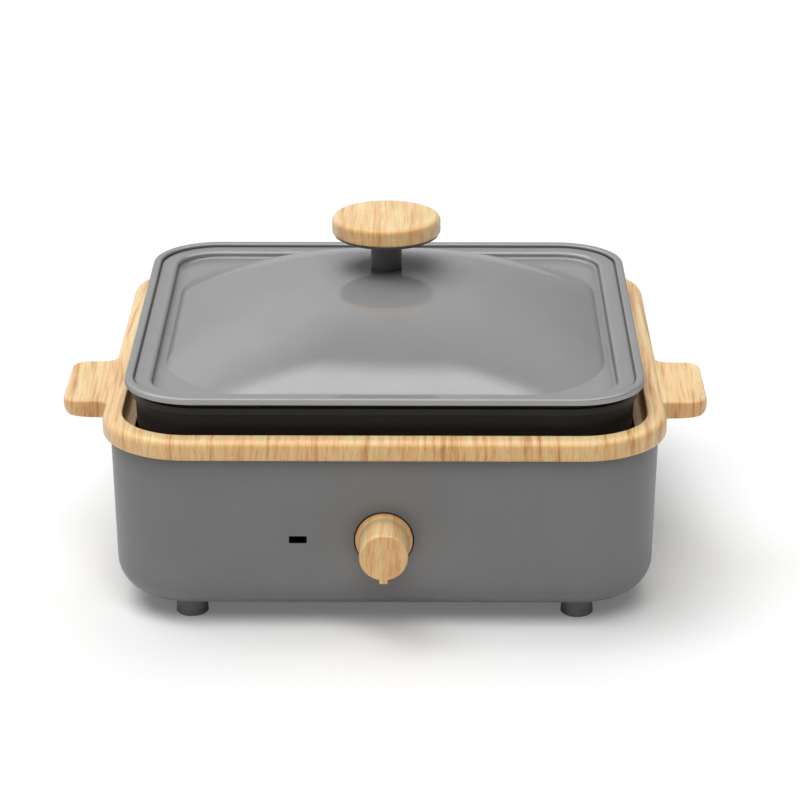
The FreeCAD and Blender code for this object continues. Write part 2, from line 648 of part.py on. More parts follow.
def make_casing():
    """A drafted tub with a rounded foot, a ledge for the shield and holes for what it carries."""
    body = new_body("outer_casing")
    outline = new_sketch(body, "casing_outline", z=CASING_TOP)
    add_rounded_rectangle(outline, "casing_width", "casing_depth", "casing_radius")
    pad(body, "casing_block", outline, "casing_height", True, "casing_draft")
    inside = new_sketch(body, "casing_inside", z=CASING_TOP)
    add_rounded_rectangle(inside, "casing_width - 2 * casing_wall",
                          "casing_depth - 2 * casing_wall", "casing_radius - casing_wall")
    pocket(body, "casing_hollow", inside, "casing_height - casing_wall", draft="casing_draft")
    fillet(body, "casing_hollow_round", "casing_bottom_round - casing_wall",
           lambda edge: lies_level(edge, CASING_FLOOR))
    fillet(body, "casing_foot_round", "casing_bottom_round", lambda edge: lies_level(edge, CASING_BASE))

    ledge = new_sketch(body, "ledge_outline", z=LEDGE_TOP)
    add_rounded_rectangle(ledge, "casing_width - casing_wall", "casing_depth - casing_wall",
                          "casing_radius - casing_wall / 2")
    reach = "2 * ( casing_wall + ledge_reach )"
    add_rounded_rectangle(ledge, "casing_width - " + reach, "casing_depth - " + reach,
                          "casing_radius - casing_wall - ledge_reach")
    pad(body, "ledge", ledge, "ledge_thickness", True)
    bosses = new_sketch(body, "frame_boss_circles", z=LEDGE_TOP)
    for x, y in FRAME_SCREW_SPOTS:
        add_circle(bosses, "boss_radius", x, y)
    pad(body, "frame_bosses", bosses, "frame_boss_height", True)
    holes = new_sketch(body, "frame_hole_circles", z=CASING_TOP)
    for x, y in FRAME_SCREW_SPOTS:
        add_circle(holes, SCREW_HOLE, x, y)
    pocket(body, "frame_holes", holes, "shield_sheet + frame_boss_height + cut_past")
    head_room = new_sketch(body, "frame_head_circles", z="%s - frame_boss_height" % LEDGE_TOP)
    for x, y in FRAME_SCREW_SPOTS:
        add_circle(head_room, "screw_head_radius + screw_hole_play", x, y)
    pocket(body, "frame_head_room", head_room, "screw_head_height + cut_past")

    floor_bosses = new_sketch(body, "floor_boss_circles", z="%s - 0.5 * casing_wall" % CASING_FLOOR)
    for x, y in list(FOOT_SPOTS.values()) + COVER_SCREW_SPOTS:
        add_circle(floor_bosses, "boss_radius", x, y)
    pad(body, "floor_bosses", floor_bosses, "floor_boss_height + 0.5 * casing_wall")
    floor_holes = new_sketch(body, "floor_hole_circles", z=CASING_BASE)
    for x, y in list(FOOT_SPOTS.values()) + COVER_SCREW_SPOTS:
        add_circle(floor_holes, SCREW_HOLE, x, y)
    pocket(body, "floor_holes", floor_holes, "casing_wall + floor_boss_height + cut_past", True)
    opening = new_sketch(body, "base_opening_outline", z=CASING_BASE)
    add_rounded_rectangle(opening, "base_opening", "base_opening", "base_opening_radius")
    pocket(body, "base_opening_cut", opening, "casing_wall + cut_past", True)

    knob_boss = new_sketch(body, "knob_boss_circle", "XZ_Plane", y=KNOB_AXIS, z=RECESS_BACK)
    add_circle(knob_boss, "knob_flange_radius + knob_gap + recess_wall")
    pad(body, "knob_boss", knob_boss, "recess_depth + recess_wall - casing_wall / 2")
    outside = "( %s + casing_wall )" % WALL_FRONT
    recess = new_sketch(body, "knob_recess_circle", "XZ_Plane", y=KNOB_AXIS, z=outside)
    add_circle(recess, "knob_flange_radius + knob_gap")
    pocket(body, "knob_recess", recess, "casing_wall + recess_depth")
    shaft_hole = new_sketch(body, "shaft_hole_circle", "XZ_Plane", y=KNOB_AXIS, z=outside)
    add_circle(shaft_hole, "shaft_radius + shaft_clear")
    pocket(body, "shaft_hole", shaft_hole, "casing_wall + recess_depth + recess_wall + cut_past")
    bracket_holes = new_sketch(body, "bracket_hole_circles", "XZ_Plane", y=KNOB_AXIS, z=RECESS_BACK)
    for side in ("1", "-1"):
        add_circle(bracket_holes, "screw_radius", side + " * bracket_screw_offset")
    pocket(body, "bracket_holes", bracket_holes, "bracket_hole_depth", True)
    window = new_sketch(body, "window_outline", "XZ_Plane", x="- window_offset", y=KNOB_AXIS, z=outside)
    add_rounded_rectangle(window, "window_width", "window_height", "window_corner")
    pocket(body, "window_hole", window, "3 * casing_wall")

    inlet = dict(plane="XZ_Plane", y="inlet_level")
    seat = "-( %s )" % INLET_SEAT
    inner = "-( %s - inlet_pad_thickness )" % INLET_SEAT
    backing = new_sketch(body, "inlet_pad_outline", z=inner, **inlet)
    add_rounded_rectangle(backing, "inlet_flange_width + 2 * inlet_pad_margin",
                          "inlet_flange_height + 2 * inlet_pad_margin",
                          "inlet_flange_corner + inlet_pad_margin")
    pad(body, "inlet_pad", backing, "inlet_pad_thickness", True)
    recessed = new_sketch(body, "inlet_seat_outline", z=seat, **inlet)
    add_rounded_rectangle(recessed, "inlet_flange_width + 2 * inlet_seat_play",
                          "inlet_flange_height + 2 * inlet_seat_play",
                          "inlet_flange_corner + inlet_seat_play")
    pocket(body, "inlet_seat", recessed, "4 * casing_wall")
    cutout = new_sketch(body, "inlet_cutout_outline", z=inner, **inlet)
    add_rounded_rectangle(cutout, "inlet_body_width + 2 * inlet_body_play",
                          "inlet_body_height + 2 * inlet_body_play",
                          "inlet_flange_corner")
    for side in ("1", "-1"):
        add_circle(cutout, "screw_radius", side + " * inlet_screw_offset")
    pocket(body, "inlet_cutout", cutout, "4 * casing_wall")


def make_bottom_cover():
    """A flat cover with two rows of vent slots, screwed over the opening in the floor."""
    body = new_body("bottom_cover")
    side = "base_opening + 2 * cover_overlap"
    under = "( foot_height - cover_thickness )"
    outline = new_sketch(body, "cover_outline", z=under)
    add_rounded_rectangle(outline, side, side, "base_opening_radius + cover_overlap")
    for x, y in COVER_SCREW_SPOTS:
        add_circle(outline, SCREW_HOLE, x, y)
    pad(body, "cover_plate", outline, "cover_thickness")
    first = "- ( vent_count - 1 ) / 2 * vent_pitch"
    slots = []
    for end in ("1", "-1"):
        name = "front" if end == "-1" else "rear"
        slot = new_sketch(body, name + "_slot_outline", x=first, y=end + " * vent_row_offset",
                          z=under)
        add_rounded_rectangle(slot, "vent_width", "vent_length", "( vent_width - vent_end_flat ) / 2")
        slots.append(pocket(body, name + "_slot", slot, "cover_thickness + cut_past", True))
    rows = body.newObject("PartDesign::LinearPattern", "slot_rows")
    rows.Originals = slots
    rows.Direction = ([item for item in body.Origin.OriginFeatures if item.Role == "X_Axis"][0], [""])
    bind(rows, "Length", "( vent_count - 1 ) * vent_pitch")
    bind(rows, "Occurrences", "vent_count")
    body.Tip = rows


def make_feet():
    """Four feet, a little wider at the floor, each with a screw recess, and their screws."""
    for name, (x, y) in FOOT_SPOTS.items():
        body = new_body("foot_" + name)
        profile = new_sketch(body, "foot_profile_" + name, "XZ_Plane", x=x)
        sole = "foot_radius + foot_spread"
        add_profile(profile, (
            ("foot_recess_radius", "0"),
            (sole + " - foot_edge_bevel", "0"),
            (sole, "foot_edge_bevel"),
            ("foot_radius", "foot_height"),
            (SCREW_HOLE, "foot_height"),
            (SCREW_HOLE, "foot_recess_depth"),
            ("foot_recess_radius", "foot_recess_depth"),
        ))
        revolve(body, "foot_turned_" + name, profile)
        bind(body, "Placement.Base.y", "( %s ) + %s" % (y, PLAN_SHIFT))
    new_screws("foot_screws", [(x, y, "foot_recess_depth") for x, y in FOOT_SPOTS.values()], (0, 0, 1),
               "foot_height - foot_recess_depth + casing_wall + screw_bite",
               "screw_head_radius", "screw_head_height", "screw_radius")
    new_screws("cover_screws", [(x, y, "( foot_height - cover_thickness )") for x, y in COVER_SCREW_SPOTS],
               (0, 0, 1), "cover_thickness + casing_wall + screw_bite",
               "screw_head_radius", "screw_head_height", "screw_radius")


def make_wood_frame():
    """A rounded bar bent round the casing, with a flat grip growing out of each side."""
    body = new_body("wood_frame")
    outline = new_sketch(body, "frame_outline", z=CASING_TOP)
    add_rounded_rectangle(outline, "ring_width", "ring_depth", "ring_radius")
    pad(body, "frame_block", outline, "ring_height")
    outer = [number(size) for size in ("ring_width", "ring_depth", "ring_radius")]
    fillet(body, "frame_top_round", "ring_top_round", on_outline(*outer, RING_TOP))
    fillet(body, "frame_bottom_round", "ring_bottom_round", on_outline(*outer, CASING_TOP))
    for name, side in (("right", "1"), ("left", "-1")):
        root = "%s * ( ring_width / 2 - handle_overlap )" % side
        inner = "%s * ( ring_width / 2 - ring_wall / 2 )" % side
        front_neck = "%s * ( ring_width / 2 - handle_overlap + handle_front_root )" % side
        rear_neck = "%s * ( ring_width / 2 - handle_overlap + handle_rear_root )" % side
        shoulder = "%s * ( ring_width / 2 + handle_reach - handle_tip_radius )" % side
        tip = "%s * ( ring_width / 2 + handle_reach )" % side
        front = HANDLE_FRONT
        rear = "( %s + handle_depth )" % HANDLE_FRONT
        turn = int(side)
        plan = new_sketch(body, "grip_plan_" + name, z=CASING_TOP)
        add_profile(plan, (
            (inner, front + " - handle_front_root"),
            (root, front + " - handle_front_root", "handle_front_root", turn),
            (front_neck, front),
            (shoulder, front, "handle_tip_radius", -turn),
            (tip, front + " + handle_tip_radius"),
            (tip, rear + " - handle_tip_radius", "handle_tip_radius", -turn),
            (shoulder, rear),
            (rear_neck, rear, "handle_rear_root", turn),
            (root, rear + " + handle_rear_root"),
            (inner, rear + " + handle_rear_root"),
        ))
        pad(body, "grip_" + name, plan, "%s - %s" % (HANDLE_TOP, CASING_TOP))
        beyond = "%s * ( ring_width / 2 + handle_reach + cut_past )" % side
        below = CASING_TOP + " - cut_past"
        bend_top = "%s - handle_tip_thickness + handle_tip_belly" % HANDLE_TOP
        belly = new_sketch(body, "grip_belly_" + name, "XZ_Plane",
                           z="-( %s ) - handle_rear_root - cut_past" % rear)
        add_profile(belly, (
            ("%s * ( ring_width / 2 - ring_bottom_round )" % side, below),
            (beyond, below),
            (beyond, bend_top),
            (tip, bend_top, "handle_tip_belly", turn),
            ("%s * ( ring_width / 2 + handle_reach - handle_tip_belly )" % side,
             "%s - handle_tip_thickness" % HANDLE_TOP, "handle_belly_radius", turn),
            ("%s * ( ring_width / 2 - ring_bottom_round )" % side, CASING_TOP + " + handle_root_rise"),
        ))
        pocket(body, "grip_underside_" + name, belly,
               "handle_depth + handle_rear_root + handle_front_root + 2 * cut_past", True)
    beside = number("ring_width / 2 + handle_front_root / 2")
    fillet(body, "grip_top_edges", "handle_edge_round",
           lambda edge: lies_level(edge, HANDLE_TOP) and abs(middle(edge).x) > beside)
    round_start = number("ring_width / 2 - ring_top_round")
    fillet(body, "grip_root_hollows", "handle_root_hollow",
           lambda edge: lies_level(edge, HANDLE_TOP) and round_start < abs(middle(edge).x) < beside)
    opening = new_sketch(body, "frame_opening", z=CASING_TOP)
    lip_inset = "2 * ( ring_wall + frame_lip_width )"
    add_rounded_rectangle(opening, "ring_width - " + lip_inset, "ring_depth - " + lip_inset,
                          "ring_radius - ring_wall - frame_lip_width")
    pocket(body, "frame_opening_cut", opening, "ring_height + cut_past", True)
    lip_top = CASING_TOP + " + frame_lip_height"
    well = new_sketch(body, "frame_inner_outline", z=lip_top)
    inner_sizes = ("ring_width - 2 * ring_wall", "ring_depth - 2 * ring_wall", "ring_radius - ring_wall")
    add_rounded_rectangle(well, *inner_sizes)
    pocket(body, "frame_inner_cut", well, "ring_height", True)
    inner_numbers = [number(size) for size in inner_sizes]
    fillet(body, "frame_inner_round", "ring_inner_round", on_outline(*inner_numbers, RING_TOP))
    fillet(body, "frame_lip_hollow", "frame_lip_round", on_outline(*inner_numbers, lip_top))
    holes = new_sketch(body, "frame_pilot_circles", z=CASING_TOP)
    for x, y in FRAME_SCREW_SPOTS:
        add_circle(holes, "screw_radius", x, y)
    pocket(body, "frame_pilots", holes, "screw_bite", True)
    new_screws("frame_screws", [(x, y, "%s - frame_boss_height" % LEDGE_TOP) for x, y in FRAME_SCREW_SPOTS],
               (0, 0, 1), "frame_boss_height + shield_sheet + screw_bite",
               "screw_head_radius", "screw_head_height", "screw_radius")


def make_shield():
    """A pressed tray: its flange lies on the casing's ledge under the wood, its well holds the element."""
    body = new_body("heat_shield")
    well = new_sketch(body, "well_outline", z=CASING_TOP)
    add_rounded_rectangle(well, WELL_WIDTH, WELL_DEPTH, WELL_RADIUS)
    pad(body, "well_block", well, "shield_depth", True)
    inside = new_sketch(body, "well_inside", z=CASING_TOP)
    add_rounded_rectangle(inside, WELL_WIDTH + " - 2 * shield_sheet",
                          WELL_DEPTH + " - 2 * shield_sheet", WELL_RADIUS + " - shield_sheet")
    pocket(body, "well_hollow", inside, "shield_depth - shield_sheet")
    fillet(body, "well_hollow_round", "shield_round - shield_sheet",
           lambda edge: lies_level(edge, SHIELD_FLOOR))
    fillet(body, "well_round", "shield_round", lambda edge: lies_level(edge, SHIELD_UNDER))
    flange = new_sketch(body, "shield_flange_outline", z=LEDGE_TOP)
    inset = "2 * ( casing_wall + shield_play )"
    add_rounded_rectangle(flange, "casing_width - " + inset, "casing_depth - " + inset,
                          "casing_radius - casing_wall - shield_play")
    add_rounded_rectangle(flange, WELL_WIDTH + " - shield_sheet", WELL_DEPTH + " - shield_sheet",
                          WELL_RADIUS + " - shield_sheet / 2")
    pad(body, "shield_flange", flange, "shield_sheet")
    notches = new_sketch(body, "shield_notch_circles", z=LEDGE_TOP)
    for x, y in FRAME_SCREW_SPOTS:
        add_circle(notches, SCREW_HOLE, x, y)
    pocket(body, "shield_notches", notches, "shield_sheet", True)
    ends = new_sketch(body, "cold_end_circles", "XZ_Plane", y=ELEMENT_AXIS,
                      z="-( %s ) + cold_end_room" % WELL_BACK)
    for side in ("1", "-1"):
        add_circle(ends, "bush_radius", side + " * element_gap")
    pocket(body, "cold_end_holes", ends, "2 * cold_end_room")


def make_element():
    """One bent tube that folds under the whole pan, with its bushes and its clips."""
    level = number(ELEMENT_AXIS)
    reach = number("element_reach")
    inner = number("element_inner")
    gap = number("element_gap")
    fold = number("element_front_fold")
    end = number(WELL_BACK) + number("element_end")
    half = [(gap, end), (gap, reach), (reach, reach), (reach, -reach), (inner, -reach), (inner, fold)]
    route = [(-x, y, level) for x, y in half] + [(x, y, level) for x, y in reversed(half)]
    tube = swept_tube(route, number("element_radius"), number("element_bend"))
    feature_from("heating_element", [tube])
    bushes = []
    for name, side in (("right", "1"), ("left", "-1")):
        x = side + " * element_gap"
        start = "( %s - shield_sheet - bush_flange_thickness )" % WELL_BACK
        length = "( bush_flange_thickness + shield_sheet + bush_proud )"
        collar = new_cylinder("bush_collar_" + name, "bush_radius", length, x, start,
                              ELEMENT_AXIS, (0, 1, 0))
        flange = new_cylinder("bush_flange_" + name, "bush_flange", "bush_flange_thickness", x,
                              start, ELEMENT_AXIS, (0, 1, 0))
        bore = new_cylinder("bush_bore_" + name, "element_radius", length + " + 2 * cut_past", x,
                            start + " - cut_past", ELEMENT_AXIS, (0, 1, 0))
        bushes.append(cut("bush_" + name, fuse("bush_outer_" + name, [collar, flange]), bore))
    group("element_bushes", bushes)
    clips = []
    for name, side, y in (("front_right", "1", "-1"), ("rear_right", "1", "1"),
                          ("front_left", "-1", "-1"), ("rear_left", "-1", "1")):
        x = side + " * element_reach"
        along = y + " * clip_offset"
        plate = new_box("clip_plate_" + name, "clip_width", "clip_thickness",
                        "element_level + element_radius + clip_over", x, along, SHIELD_FLOOR)
        foot = new_box("clip_foot_" + name, "clip_width", "clip_foot",
                       "clip_thickness", x, "%s + ( clip_foot - clip_thickness ) / 2" % along,
                       SHIELD_FLOOR)
        hole = new_cylinder("clip_hole_" + name, "element_radius + clip_play",
                            "clip_thickness + 2 * cut_past", x,
                            "%s - clip_thickness / 2 - cut_past" % along, ELEMENT_AXIS, (0, 1, 0))
        clips.append(cut("clip_" + name, fuse("clip_blank_" + name, [plate, foot]), hole))
    group("element_clips", clips)


def make_pan_posts():
    posts = []
    for name, side, end in (("front_right", "1", "-1"), ("rear_right", "1", "1"),
                            ("front_left", "-1", "-1"), ("rear_left", "-1", "1")):
        posts.append(new_cylinder("post_" + name, "post_radius", "%s - %s" % (PAN_UNDER, SHIELD_FLOOR),
                                  side + " * post_offset_side", end + " * post_offset_depth",
                                  SHIELD_FLOOR))
    group("pan_posts", posts)


def make_pan():
    """A cast pan with a straight rim band, a drafted side and a flat cooking floor."""
    body = new_body("cooking_pan")
    depth = "pan_depth"
    side = new_sketch(body, "pan_outline", z=LID_SEAT)
    add_rounded_rectangle(side, "pan_width", depth, "pan_radius")
    pad(body, "pan_block", side, "pan_height", True, "pan_draft")
    fillet(body, "pan_under_round", "pan_outer_round", lambda edge: lies_level(edge, PAN_UNDER))
    rim_top = "( %s - pan_lip_height )" % LID_SEAT
    rim = new_sketch(body, "pan_rim_outline", z=rim_top)
    rim_sizes = ("pan_width + 2 * pan_rim_step", depth + " + 2 * pan_rim_step",
                 "pan_radius + pan_rim_step")
    add_rounded_rectangle(rim, *rim_sizes)
    pad(body, "pan_rim", rim, "pan_rim_height", True)
    inside = new_sketch(body, "pan_inside", z=LID_SEAT)
    inner_sizes = ("pan_width - 2 * pan_wall", depth + " - 2 * pan_wall",
                   "pan_radius - pan_wall")
    add_rounded_rectangle(inside, *inner_sizes)
    pocket(body, "pan_hollow", inside, "pan_height - pan_floor", draft="pan_draft")
    fillet(body, "pan_floor_round", "pan_inner_round",
           lambda edge: lies_level(edge, "%s + pan_floor" % PAN_UNDER))
    under_rim = "%s - pan_rim_height" % rim_top
    rim_numbers = [number(size) for size in rim_sizes]
    rim_tests = [on_outline(*rim_numbers, rim_top), on_outline(*rim_numbers, under_rim)]
    fillet(body, "pan_rim_rounds", "pan_rim_round", lambda edge: any(test(edge) for test in rim_tests))


DOME_STEPS = (0.0, 0.12, 0.3, 0.5, 0.7, 0.86, 0.95, 0.985)


def dome_section(body, name, share, drop):
    """The dome's outline at a share of its height: it shrinks and grows rounder towards the top."""
    shrink = "( ( 1 - %s ) ^ ( 1 / dome_power ) )" % share
    around = "( 2 * lid_flange + 2 * valley_width )"
    width = "( ( lid_width - %s ) * %s )" % (around, shrink)
    depth = "( ( lid_depth - %s ) * %s )" % (around, shrink)
    corner = "( dome_foot_corner + ( dome_top_corner - dome_foot_corner ) * %s )" % share
    sketch = new_sketch(body, name, z="%s + %s * dome_height - %s" % (VALLEY_FLOOR, share, drop))
    add_rounded_rectangle(sketch, width, depth, "min( %s ; %s ) / 2 * %s" % (width, depth, corner))
    return sketch


def make_lid():
    """A pressed lid: bead, flange, step down into a valley, and a full square dome of even sheet."""
    body = new_body("lid_shell")
    outer = ("lid_width", "lid_depth", "lid_radius")
    flange_top = "( %s + lid_sheet )" % LID_SEAT
    edge = new_sketch(body, "lid_outline", z=LID_SEAT)
    add_rounded_rectangle(edge, *outer)
    pad(body, "lid_flange_plate", edge, "lid_sheet")
    bead = new_sketch(body, "bead_outline", z=flange_top)
    inner_bead = ("lid_width - 2 * bead_width", "lid_depth - 2 * bead_width",
                  "lid_radius - bead_width")
    add_rounded_rectangle(bead, *outer)
    add_rounded_rectangle(bead, *inner_bead)
    pad(body, "lid_bead", bead, "bead_height")
    bead_top = "%s + bead_height" % flange_top
    tests = [on_outline(*[number(size) for size in loop], bead_top) for loop in (outer, inner_bead)]
    fillet(body, "bead_rounds", "bead_round", lambda edge: any(test(edge) for test in tests))
    groove = new_sketch(body, "groove_outline", z=flange_top)
    add_rounded_rectangle(groove, *inner_bead)
    groove_inset = "2 * ( bead_width + bead_groove_width )"
    add_rounded_rectangle(groove, "lid_width - " + groove_inset, "lid_depth - " + groove_inset,
                          "lid_radius - bead_width - bead_groove_width")
    pocket(body, "bead_groove", groove, "bead_groove_depth")

    step = new_sketch(body, "step_outline", z=LID_SEAT)
    around = "2 * ( lid_flange - lid_sheet )"
    add_rounded_rectangle(step, "lid_width - " + around, "lid_depth - " + around,
                          "lid_step_corner + lid_sheet")
    pad(body, "step_block", step, "valley_depth", True)
    valley = new_sketch(body, "valley_outline", z=flange_top)
    valley_sizes = ("lid_width - 2 * lid_flange", "lid_depth - 2 * lid_flange", "lid_step_corner")
    add_rounded_rectangle(valley, *valley_sizes)
    pocket(body, "valley", valley, "valley_depth")
    valley_numbers = [number(size) for size in valley_sizes]
    fillet(body, "valley_foot", "valley_round", on_outline(*valley_numbers, VALLEY_FLOOR))
    fillet(body, "step_edge", "lid_step_round", on_outline(*valley_numbers, flange_top))

    sections = [dome_section(body, "dome_outside_%d" % index, str(share), "0")
                for index, share in enumerate(DOME_STEPS)]
    dome = body.newObject("PartDesign::AdditiveLoft", "dome")
    dome.Profile = sections[0]
    dome.Sections = sections[1:]
    DOC.recompute()
    sections = [dome_section(body, "dome_inside_%d" % index, str(share), "lid_sheet")
                for index, share in enumerate(DOME_STEPS)]
    hollow = body.newObject("PartDesign::SubtractiveLoft", "dome_hollow")
    hollow.Profile = sections[0]
    hollow.Sections = sections[1:]
    DOC.recompute()
    hole = new_sketch(body, "lid_screw_circle", z=DOME_TOP)
    add_circle(hole, "lid_screw_radius")
    pocket(body, "lid_screw_hole", hole, "3 * lid_sheet")


DOME_FLAT = "( %s - ( 1 - %s ) * dome_height )" % (DOME_TOP, DOME_STEPS[-1])


def make_lid_knob():
    """A dark stem that widens into a disc, a thick wood disc on top, and the screw that holds them."""
    stem = new_body("lid_knob_stem")
    disc_under = "( %s + lid_stem_height )" % DOME_FLAT
    disc_top = "( %s + stem_disc_thickness )" % disc_under
    profile = new_sketch(stem, "stem_profile", "XZ_Plane")
    add_profile(profile, (
        ("lid_screw_radius", DOME_FLAT),
        ("lid_stem_radius", DOME_FLAT),
        ("lid_stem_radius", disc_under + " - stem_neck_hollow", "stem_neck_hollow", 1),
        ("lid_stem_radius + stem_neck_hollow", disc_under),
        ("stem_disc_radius - 2 * stem_disc_bevel", disc_under),
        ("stem_disc_radius", disc_under + " + stem_disc_bevel"),
        ("stem_disc_radius", disc_top),
        ("lid_screw_radius", disc_top),
    ))
    revolve(stem, "stem_turned", profile)

    cap = new_body("lid_knob_cap")
    circle = new_sketch(cap, "cap_circle", z=disc_top)
    add_circle(circle, "cap_radius")
    pad(cap, "cap_disc", circle, "cap_thickness")
    cap_top = "%s + cap_thickness" % disc_top
    fillet(cap, "cap_top_edge", "cap_top_round", lambda edge: lies_level(edge, cap_top))
    fillet(cap, "cap_bottom_edge", "cap_bottom_round", lambda edge: lies_level(edge, disc_top))
    bore = new_sketch(cap, "cap_bore_circle", z=disc_top)
    add_circle(bore, "lid_screw_radius")
    pocket(cap, "cap_bore", bore, "lid_screw_grip", True)

    dome_inside = "( %s - lid_sheet )" % DOME_FLAT
    washer_under = "( %s - lid_washer_thickness )" % dome_inside
    washer = new_body("lid_washer")
    washer_circles = new_sketch(washer, "washer_circles", z=washer_under)
    add_circle(washer_circles, "lid_washer_radius")
    add_circle(washer_circles, "lid_screw_radius")
    pad(washer, "washer_plate", washer_circles, "lid_washer_thickness")
    new_screws("lid_screw", [("0", "0", washer_under)], (0, 0, 1),
               "%s + lid_screw_grip - %s" % (disc_top, washer_under),
               "lid_screw_head_radius", "lid_screw_head_height", "lid_screw_radius")


def make_control_knob():
    """A turned wood knob with a wide root in a recess, a hollow curve and a pointer rib below."""
    knob = new_body("control_knob")
    bind(knob, "Placement.Base.z", KNOB_AXIS)
    straight = "( - ( %s ) - knob_flange_proud )" % WALL_FRONT
    cove_end = "( %s - knob_cove )" % straight
    bore_end = "( - ( %s ) - insert_length )" % KNOB_BACK
    profile = new_sketch(knob, "knob_profile")
    add_profile(profile, (
        ("insert_radius", "-( %s )" % KNOB_BACK),
        ("insert_radius", bore_end),
        ("0", bore_end),
        ("0", "-( %s )" % KNOB_FACE),
        ("knob_radius", "-( %s )" % KNOB_FACE),
        ("knob_radius", cove_end, "knob_cove", 1),
        ("knob_flange_radius", straight),
        ("knob_flange_radius", "-( %s )" % KNOB_BACK),
    ))
    revolve(knob, "knob_turned", profile)
    fillet(knob, "knob_face_edge", "knob_face_round",
           lambda edge: abs(middle(edge).y + number(KNOB_FACE)) < 1e-3)
    rib = new_sketch(knob, "pointer_outline", "XZ_Plane", z="( %s - pointer_length )" % KNOB_FACE)
    half = "pointer_width / 2"
    low = "( - knob_radius - pointer_height )"
    high = "( - knob_radius / 2 )"
    add_profile(rib, (("-( %s )" % half, low), (half, low), (half, high), ("-( %s )" % half, high)))
    pad(knob, "pointer", rib, "pointer_length")
    fillet(knob, "pointer_edges", "pointer_round", lambda edge: lies_level(edge, low))

    insert = new_body("knob_insert")
    bind(insert, "Placement.Base.z", KNOB_AXIS)
    tube = new_sketch(insert, "insert_circles", "XZ_Plane", z=KNOB_BACK)
    add_circle(tube, "insert_radius")
    pad(insert, "insert_block", tube, "insert_length")
    bore = new_sketch(insert, "insert_bore_circle", "XZ_Plane", z=KNOB_BACK)
    add_circle(bore, "shaft_radius")
    pocket(insert, "insert_bore", bore, "shaft_grip", True)

    shaft = new_body("thermostat_shaft")
    bind(shaft, "Placement.Base.z", KNOB_AXIS)
    start = "( %s - shaft_seat )" % BRACKET_BACK
    bar = new_sketch(shaft, "shaft_circle", "XZ_Plane", z=start)
    add_circle(bar, "shaft_radius")
    pad(shaft, "shaft_bar", bar, "%s + shaft_grip - %s" % (KNOB_BACK, start))


def make_thermostat():
    """The rotary thermostat on its bracket behind the front wall, with its bulb under the shield."""
    bracket = new_body("thermostat_bracket")
    plate = new_sketch(bracket, "bracket_outline", "XZ_Plane", y=KNOB_AXIS, z=BRACKET_BACK)
    add_rounded_rectangle(plate, "bracket_width", "bracket_height", "bracket_corner")
    add_circle(plate, "shaft_radius + shaft_clear")
    for side in ("1", "-1"):
        add_circle(plate, SCREW_HOLE, side + " * bracket_screw_offset")
    pad(bracket, "bracket_plate", plate, "bracket_thickness")
    spots = [(side + " * bracket_screw_offset", "-( %s )" % BRACKET_BACK, KNOB_AXIS)
             for side in ("1", "-1")]
    new_screws("bracket_screws", spots, (0, -1, 0), "bracket_thickness + bracket_bite",
               "screw_head_radius", "screw_head_height", "screw_radius")

    case = new_body("thermostat_case")
    outline = new_sketch(case, "case_outline", "XZ_Plane", y=KNOB_AXIS, z=THERMOSTAT_BACK)
    narrow = "2 * ( bracket_screw_offset - screw_head_radius - thermostat_head_gap )"
    add_rounded_rectangle(outline, narrow, "thermostat_height", "thermostat_corner")
    pad(case, "case_block", outline, "thermostat_length")
    wide = new_sketch(case, "case_rear_outline", "XZ_Plane", y=KNOB_AXIS, z=THERMOSTAT_BACK)
    add_rounded_rectangle(wide, "thermostat_width", "thermostat_height", "thermostat_corner")
    pad(case, "case_rear", wide, "thermostat_length - 2 * screw_head_height")
    bore = new_sketch(case, "case_bore_circle", "XZ_Plane", y=KNOB_AXIS, z=BRACKET_BACK)
    add_circle(bore, "shaft_radius + shaft_play")
    pocket(case, "case_bore", bore, "shaft_seat + shaft_end_gap")

    bulb_level = "( %s - bulb_gap - bulb_radius )" % SHIELD_UNDER
    bulb = new_cylinder("bulb", "bulb_radius", "bulb_length", "bulb_start", "- bulb_offset",
                        bulb_level, (1, 0, 0))
    bulb.Label = "thermostat_bulb"
    keep(bulb)
    back = -number(THERMOSTAT_BACK)
    level = number(bulb_level)
    exit_level = level - number("capillary_drop")
    exit_x = number("capillary_exit")
    across = -number("bulb_offset")
    route = [(exit_x, back, exit_level), (exit_x, back + number("capillary_run"), exit_level),
             (exit_x, across, level), (number("bulb_start"), across, level)]
    feature_from("capillary_tube", [swept_tube(route, number("capillary_radius"),
                                               number("wire_bend"))])


def make_indicator():
    """A dark window in the front wall, and the lamp behind it."""
    lens = new_body("indicator_lens")
    face = "( %s - lens_inset )" % WALL_FRONT
    shoulder = "( %s - casing_wall - lens_seat_gap )" % WALL_FRONT
    where = dict(plane="XZ_Plane", x="- window_offset", y=KNOB_AXIS)
    flange = new_sketch(lens, "lens_flange_outline", z="( %s - lens_flange_thickness )" % shoulder, **where)
    add_rounded_rectangle(flange, "window_width + 2 * lens_flange",
                          "window_height + 2 * lens_flange", "lens_flange_corner")
    pad(lens, "lens_flange_plate", flange, "lens_flange_thickness")
    nose = new_sketch(lens, "lens_outline", z=shoulder, **where)
    add_rounded_rectangle(nose, "window_width - 2 * window_play",
                          "window_height - 2 * window_play", "window_corner")
    pad(lens, "lens_nose", nose, "%s - %s" % (face, shoulder))
    lamp = new_cylinder("lamp", "lamp_radius", "lamp_length", "- window_offset",
                        "-( %s - lens_flange_thickness )" % shoulder, KNOB_AXIS, (0, 1, 0))
    lamp.Label = "indicator_lamp"
    keep(lamp)


